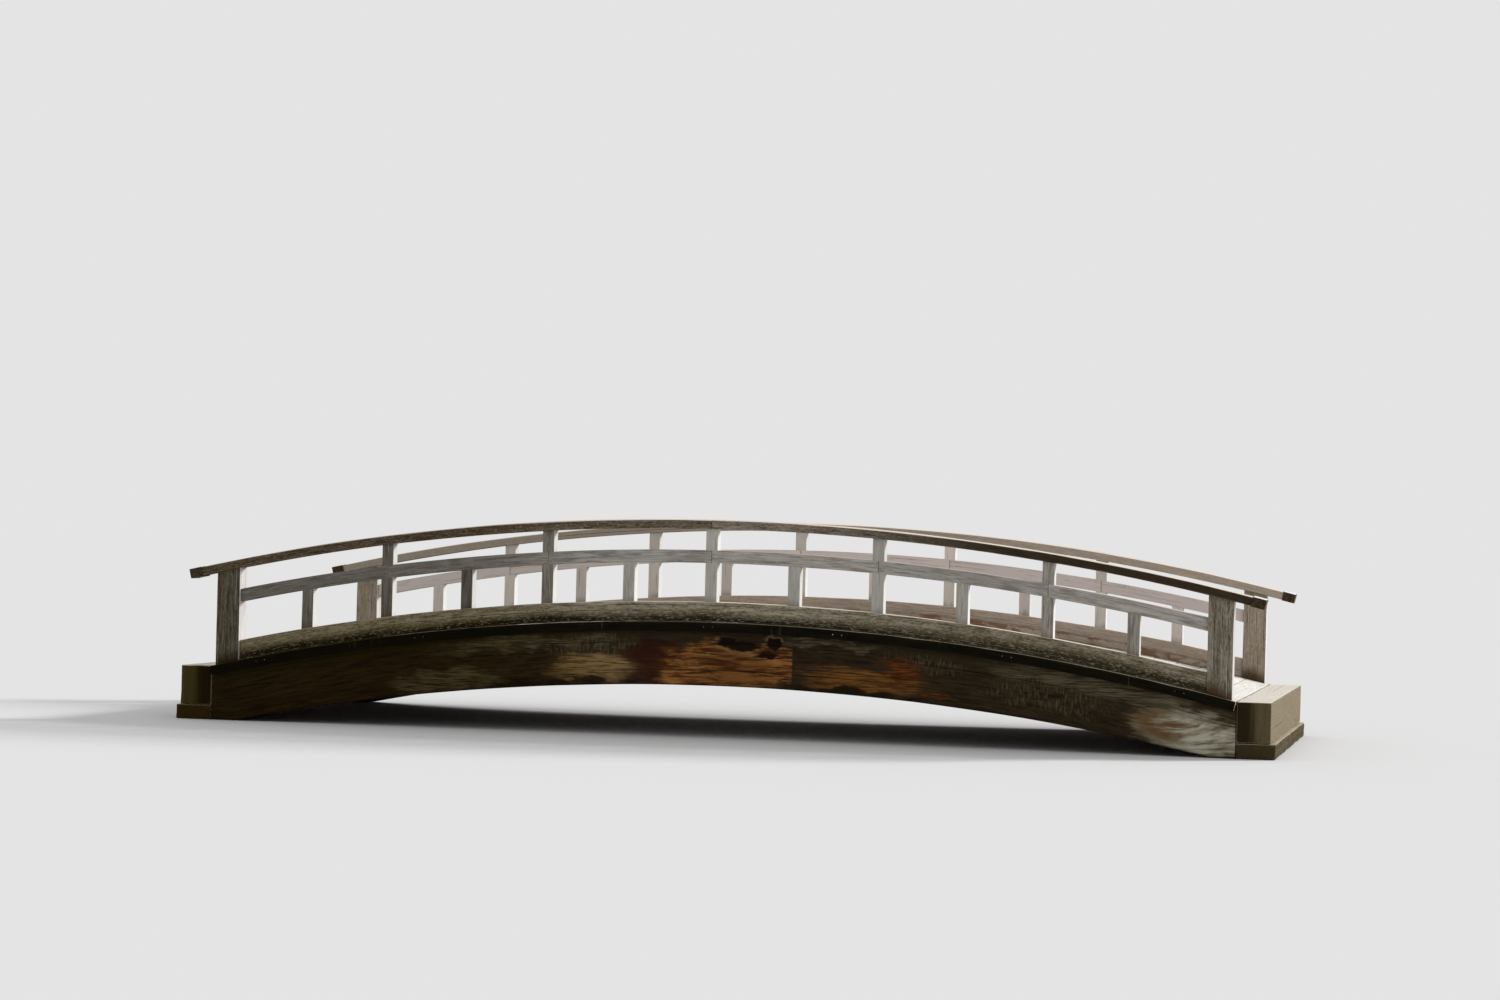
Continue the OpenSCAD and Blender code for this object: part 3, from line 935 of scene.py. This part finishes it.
def make_end_posts(finish):
    for node, sign, end in sides_and_ends("end_post"):
        low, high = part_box(node)
        place = upright(ENDS[end] * end_post_x, low.y, deck_r, handrail_r)
        top = handrail_r - deck_r + SUNK
        part = timber(node, 0, top, high.x - low.x, high.y - low.y, place, END_POST_WEAR)
        dress(node, [part], finish, sign)


def make_curbs(finish):
    for node, sign, low, high in both_sides("curb"):
        place = between_radii(deck_r, curb_r, middle_of(node).y)
        part = timber(node, low.x, high.x, high.y - low.y, curb_r - deck_r, place, CURB_WEAR)
        dress(node, [part], finish, sign)


def make_mid_rails(finish):
    joints = [2 * bay * half_bay for bay in range(1 - OUTER_BAY, OUTER_BAY)]
    bounds = [-rail_end_x - SUNK, *joints, rail_end_x + SUNK]
    for node, sign, low, high in both_sides("mid_rail"):
        place = between_radii(mid_low_r, mid_top_r, middle_of(node).y)
        parts = []
        for number, (start, end) in enumerate(zip(bounds, bounds[1:])):
            parts.append(timber(f"{node} {number}", start + SEAM / 2, end - SEAM / 2, high.y - low.y,
                                mid_top_r - mid_low_r, place, MID_RAIL_WEAR))
        dress(node, parts, finish, sign)


def make_handrails(finishes, metal):
    height, crown = side_r - handrail_r, ridge_r - side_r
    low_r = handrail_r - cap_t
    for node, sign, end in sides_and_ends("top_rail"):
        y = middle_of(node).y
        start, stop = sorted((ENDS[end] * SEAM / 2, ENDS[end] * (cap_angle * handrail_r + SUNK)))
        rail = timber(node, start, stop, handrail_w, height, round_arch(handrail_r, y), HANDRAIL_WEAR, crown)
        dress(node, [rail], finishes[end], sign)
        start, stop = sorted((ENDS[end] * cap_angle * low_r, ENDS[end] * tip_angle * low_r))
        cap = timber(f"{node} cap", start, stop, handrail_w + 2 * cap_t, height + 2 * cap_t,
                     round_arch(low_r, y), CAP_WEAR, crown)
        piece(f"{node}_cap", [cap], [], metal, sign)


def make_girders(finish):
    for node, sign, low, high in both_sides("girder"):
        points = points_of(node)
        outer_y = low.y if sign < 0 else high.y
        on_outer_face = np.abs(points[:, 1] - outer_y) < TOUCH
        below_top = polar(points)[1] < seat_r - UPPER_EDGE
        soffit_z, soffit_r = circle_through(points[on_outer_face & below_top & (points[:, 2] > TOUCH)])
        height = seat_r + CENTRE_Z - soffit_z - soffit_r
        place = under_arches(lambda x: np.maximum(arc_z(soffit_r, x, soffit_z), 0),
                             lambda x: arc_z(seat_r, x), height, middle_of(node).y)
        part = timber(node, low.x, high.x, high.y - low.y, height, place, GIRDER_WEAR)
        dress(node, [part], finish, sign)


def make_deck_edges(finish):
    reach = asin(deck_end_x / deck_r) * edge_low_r
    for node, sign, low, high in both_sides("deck_edge"):
        place = round_arch(edge_low_r, middle_of(node).y)
        part = timber(node, -reach, reach, high.y - low.y, deck_r - edge_low_r, place, EDGE_WEAR)
        dress(node, [part], finish, sign)


def planks_of(node):
    """(first angle, last angle) of each plank of a node."""
    return clusters(polar(points_of(node))[0], SMALLEST_GAP / deck_r).reshape(-1, 2)


def make_planks(finish):
    for node in PLANK_NODES:
        low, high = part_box(node)
        parts = []
        for number, (first, last) in enumerate(planks_of(node)):
            half = (last - first) / 2
            width, height = 2 * deck_r * sin(half), deck_r * cos(half) - seat_r
            place = crosswise((first + last) / 2, seat_r)
            parts.append(timber(f"{node} {number}", low.y, high.y, width, height, place, PLANK_WEAR))
        dress(node, parts, finish)


def make_level_timbers(kind, wear, finish):
    for end in ENDS:
        node = f"{kind}_{end}"
        low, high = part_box(node)
        place = level_crosswise(middle_of(node).x, low.z)
        part = timber(node, low.y, high.y, high.x - low.x, high.z - low.z, place, wear)
        dress(node, [part], finish)


NAIL_R, NAIL_RISE, NAIL_SIDES = 0.0055, 0.0014, 8
NAIL_RINGS = ((1.0, -0.6), (0.9, 0.5), (0.45, 1.0))    # share of the radius, share of the rise
PLANK_NAIL_SHARES = (0.22, 0.78)      # places across a plank
PLANK_NAIL_DEPTH = 2.5 * NAIL_RISE    # the worn face lies that deep
EDGE_NAIL_DEPTH = 1.6 * NAIL_RISE
EDGE_NAIL_X = 0.45                    # half bays from a tall post, towards mid-span
EDGE_NAIL_OFFSETS = (-0.035, 0.035)


def nail_head(point, normal):
    """A low domed head as a mesh part."""
    turn = Vector(normal).to_track_quat("Z", "Y")
    points = []
    for ring_r, ring_z in NAIL_RINGS:
        for side in range(NAIL_SIDES):
            angle = 2 * pi * side / NAIL_SIDES
            out = Vector((cos(angle), sin(angle), 0)) * NAIL_R * ring_r
            points.append(Vector(point) + turn @ (out + Vector((0, 0, NAIL_RISE * ring_z))))
    faces = []
    station_rings(faces, len(NAIL_RINGS), NAIL_SIDES)
    ring = range(NAIL_SIDES)
    faces += [[(len(NAIL_RINGS) - 1) * NAIL_SIDES + side for side in ring], [*reversed(ring)]]
    return {"points": np.array(points), "faces": faces}


def make_plank_nails(finish):
    curb_y = (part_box("curb_far")[0].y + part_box("girder_far")[0].y) / 2
    stringer_y = clusters(points_of("stringers")[:, 1], SAME_FACE).reshape(-1, 2).mean(axis=1)
    out = deck_r - PLANK_NAIL_DEPTH
    for node in PLANK_NODES:
        heads = []
        for first, last in planks_of(node):
            for share in PLANK_NAIL_SHARES:
                angle = first + share * (last - first)
                normal = (sin(angle), 0, cos(angle))
                for y in (*stringer_y, curb_y, -curb_y):
                    heads.append(nail_head((out * normal[0], y, CENTRE_Z + out * normal[2]), normal))
        piece(f"{node}_nails", heads, [], finish)


def make_edge_nails(finish):
    for node, sign, low, high in both_sides("deck_edge"):
        y = (low.y if sign < 0 else high.y) - sign * EDGE_NAIL_DEPTH
        heads = []
        for bay in range(-OUTER_BAY, OUTER_BAY + 1):
            for offset in EDGE_NAIL_OFFSETS:
                x = (2 * bay - EDGE_NAIL_X * np.sign(bay)) * half_bay + offset
                heads.append(nail_head((x, y, arc_z((deck_r + edge_low_r) / 2, x)), (0, sign, 0)))
        piece(f"{node}_nails", heads, [], finish)


def give_finish(node, finish):
    """A new finish for a CAD node that keeps its own shape."""
    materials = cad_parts[node].data.materials
    materials.clear()
    materials.append(finish)


def make_bridge():
    make_posts(post_finish())
    make_end_posts(end_post_finish())
    make_curbs(curb_finish())
    make_mid_rails(rail_finish())
    brown = handrail_finish("left", (96, 88, 76), (58, 49, 36), (82, 71, 56))
    grey = handrail_finish("right", (122, 114, 102), (76, 66, 54), (96, 84, 68))
    make_handrails({"left": brown, "right": grey}, cap_finish())
    make_girders(girder_finish())
    make_deck_edges(edge_finish())
    make_planks(deck_finish())
    make_level_timbers("end_sill", SILL_WEAR, sill_finish())
    make_level_timbers("footing", FOOTING_WEAR, footing_finish())
    iron = nail_finish()
    make_plank_nails(iron)
    make_edge_nails(iron)
    beam_timber = frame_finish("beam_timber", (60, 1.6, 60))
    for number in range(1, 2 * OUTER_BAY):
        give_finish(f"cross_beam_{number}", beam_timber)
    give_finish("stringers", frame_finish("stringer_timber", (1.6, 60, 60)))


# Stage, lamps and camera

FLOOR_HALF = 400.0
FLOOR_Z = -0.001
CAMERA_AT = (6.165, -28.702, 1.620)
CAMERA_YAW, CAMERA_PITCH, CAMERA_ROLL = map(radians, (-12.31, 0.51, 1.47))
LENS_MM, SENSOR_MM = 85, 36


def make_stage():
    mesh = bpy.data.meshes.new("floor")
    corners = [(-1, -1), (1, -1), (1, 1), (-1, 1)]
    mesh.from_pydata([(x * FLOOR_HALF, y * FLOOR_HALF, FLOOR_Z) for x, y in corners], [], [(0, 1, 2, 3)])
    floor = new_object("floor", mesh)
    finish = Finish("floor_pale", shine=0.0)
    finish.shader.inputs["Base Color"].default_value = (FLOOR_COLOUR, FLOOR_COLOUR, FLOOR_COLOUR, 1)
    finish.shader.inputs["Roughness"].default_value = 1.0
    mesh.materials.append(finish.material)


def make_world():
    """An even sky. Where it is seen, it has the floor's tone, so no horizon shows."""
    world = bpy.data.worlds.new("studio")
    bpy.context.scene.world = world
    world.use_nodes = True
    graph = Graph(world.node_tree)
    tone = FLOOR_COLOUR * FLOOR_LEVEL
    sky = graph.add("ShaderNodeBackground", {"Color": (1, 1, 1, 1), "Strength": SKY_LEVEL})
    backdrop = graph.add("ShaderNodeBackground", {"Color": (tone, tone, tone, 1)})
    rays = [graph.add("ShaderNodeLightPath", {}, kind) for kind in ("Is Camera Ray", "Is Glossy Ray")]
    mixed = graph.add("ShaderNodeMixShader", {0: graph.maths("MAXIMUM", *rays), 1: sky, 2: backdrop})
    graph.links.new(mixed, graph.nodes["World Output"].inputs["Surface"])


def make_key():
    data = bpy.data.lights.new("key", "SUN")
    data.energy, data.angle = KEY_IRRADIANCE, KEY_SPREAD
    lamp = new_object("key", data)
    lamp.rotation_euler = KEY_FROM.to_track_quat("Z", "Y").to_euler()


def make_camera():
    data = bpy.data.cameras.new("camera")
    data.lens, data.sensor_width = LENS_MM, SENSOR_MM
    data.clip_end = 2 * FLOOR_HALF
    camera = new_object("camera", data)
    placed = Matrix.Translation(CAMERA_AT)
    for angle, axis in ((-CAMERA_YAW, "Z"), (pi / 2 + CAMERA_PITCH, "X"), (CAMERA_ROLL, "Z")):
        placed @= Matrix.Rotation(angle, 4, axis)
    camera.matrix_world = placed
    bpy.context.scene.camera = camera


make_bridge()
make_stage()
make_world()
make_key()
make_camera()
bpy.context.scene.view_settings.view_transform = "Standard"
